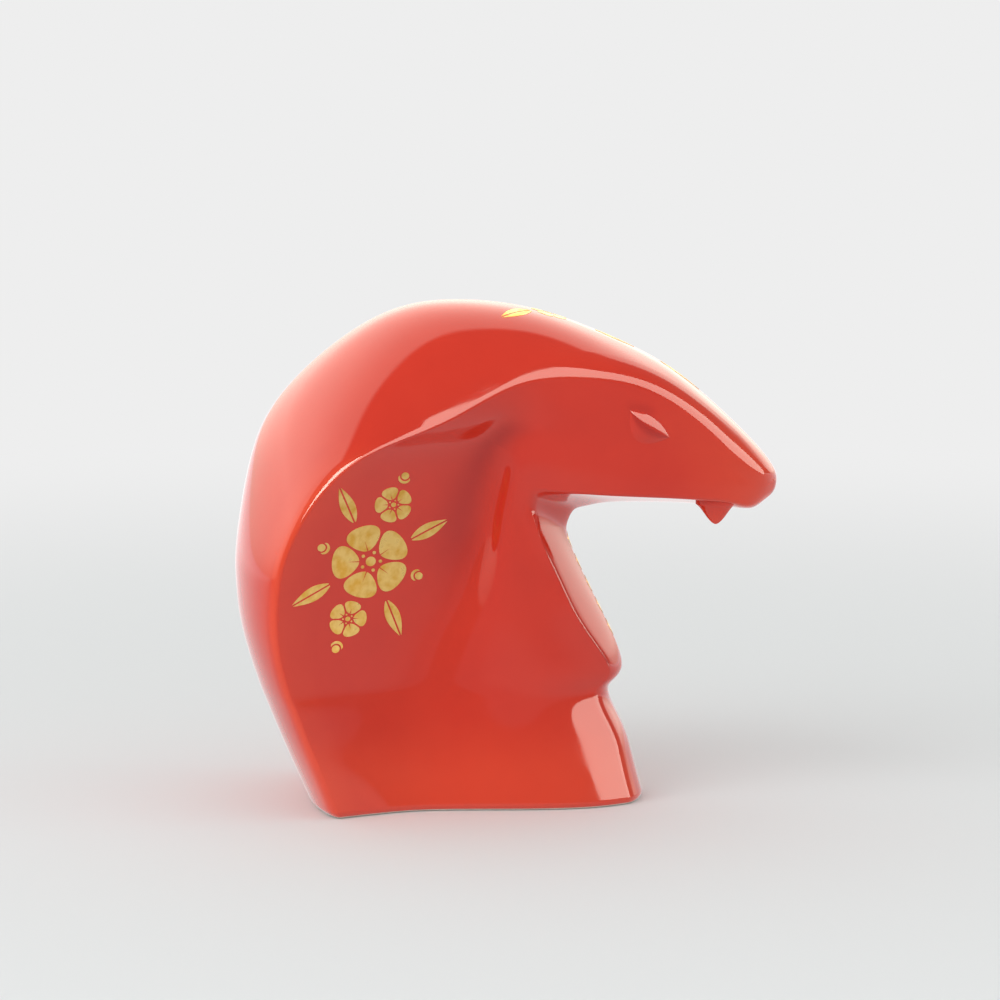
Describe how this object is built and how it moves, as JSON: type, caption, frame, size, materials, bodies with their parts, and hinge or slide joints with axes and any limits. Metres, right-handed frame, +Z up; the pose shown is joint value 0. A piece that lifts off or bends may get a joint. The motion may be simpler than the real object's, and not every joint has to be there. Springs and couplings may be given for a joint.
{
  "type": "snake figurine",
  "caption": "Porcelain figurine of a hooded snake rearing on a flat foot with its head stretched forward; red glaze with fired gold blossoms, a table or shelf ornament.",
  "frame": {"origin": "middle of the bounding box in X and Y, on the surface that the foot stands on", "axes": "+X towards the snout, +Y to the snake's left, +Z up"},
  "size_m": [0.1083, 0.064, 0.1003],
  "materials": {
    "red_glaze": "gloss",
    "eye_glaze": "gloss",
    "bisque": "matte",
    "fired_gold": "satin"
  },
  "bodies": {
    "root": {"body_casting": "red_glaze", "head_casting": "red_glaze", "belly_panel": "red_glaze", "base_plate": "bisque", "right_eye": "eye_glaze", "right_fang": "red_glaze", "left_eye": "eye_glaze", "left_fang": "red_glaze", "gold_right_blossom": "fired_gold", "gold_right_upper_blossom": "fired_gold", "gold_right_upper_bud": "fired_gold", "gold_right_upper_side_bud": "fired_gold", "gold_right_upper_rear_leaf": "fired_gold", "gold_right_upper_fore_leaf": "fired_gold", "gold_right_lower_blossom": "fired_gold", "gold_right_lower_bud": "fired_gold", "gold_right_lower_side_bud": "fired_gold", "gold_right_lower_rear_leaf": "fired_gold", "gold_right_lower_fore_leaf": "fired_gold", "gold_left_blossom": "fired_gold", "gold_left_upper_blossom": "fired_gold", "gold_left_upper_bud": "fired_gold", "gold_left_upper_side_bud": "fired_gold", "gold_left_upper_rear_leaf": "fired_gold", "gold_left_upper_fore_leaf": "fired_gold", "gold_left_lower_blossom": "fired_gold", "gold_left_lower_bud": "fired_gold", "gold_left_lower_side_bud": "fired_gold", "gold_left_lower_rear_leaf": "fired_gold", "gold_left_lower_fore_leaf": "fired_gold", "gold_crown_blossom": "fired_gold", "gold_crown_right_leaf": "fired_gold", "gold_crown_left_leaf": "fired_gold", "gold_crown_leaf": "fired_gold", "gold_brow_leaf": "fired_gold", "gold_belly_lozenge_1": "fired_gold", "gold_belly_lozenge_2": "fired_gold", "gold_belly_lozenge_3": "fired_gold", "gold_belly_lozenge_4": "fired_gold", "gold_belly_lozenge_5": "fired_gold"}
  },
  "joints": []
}
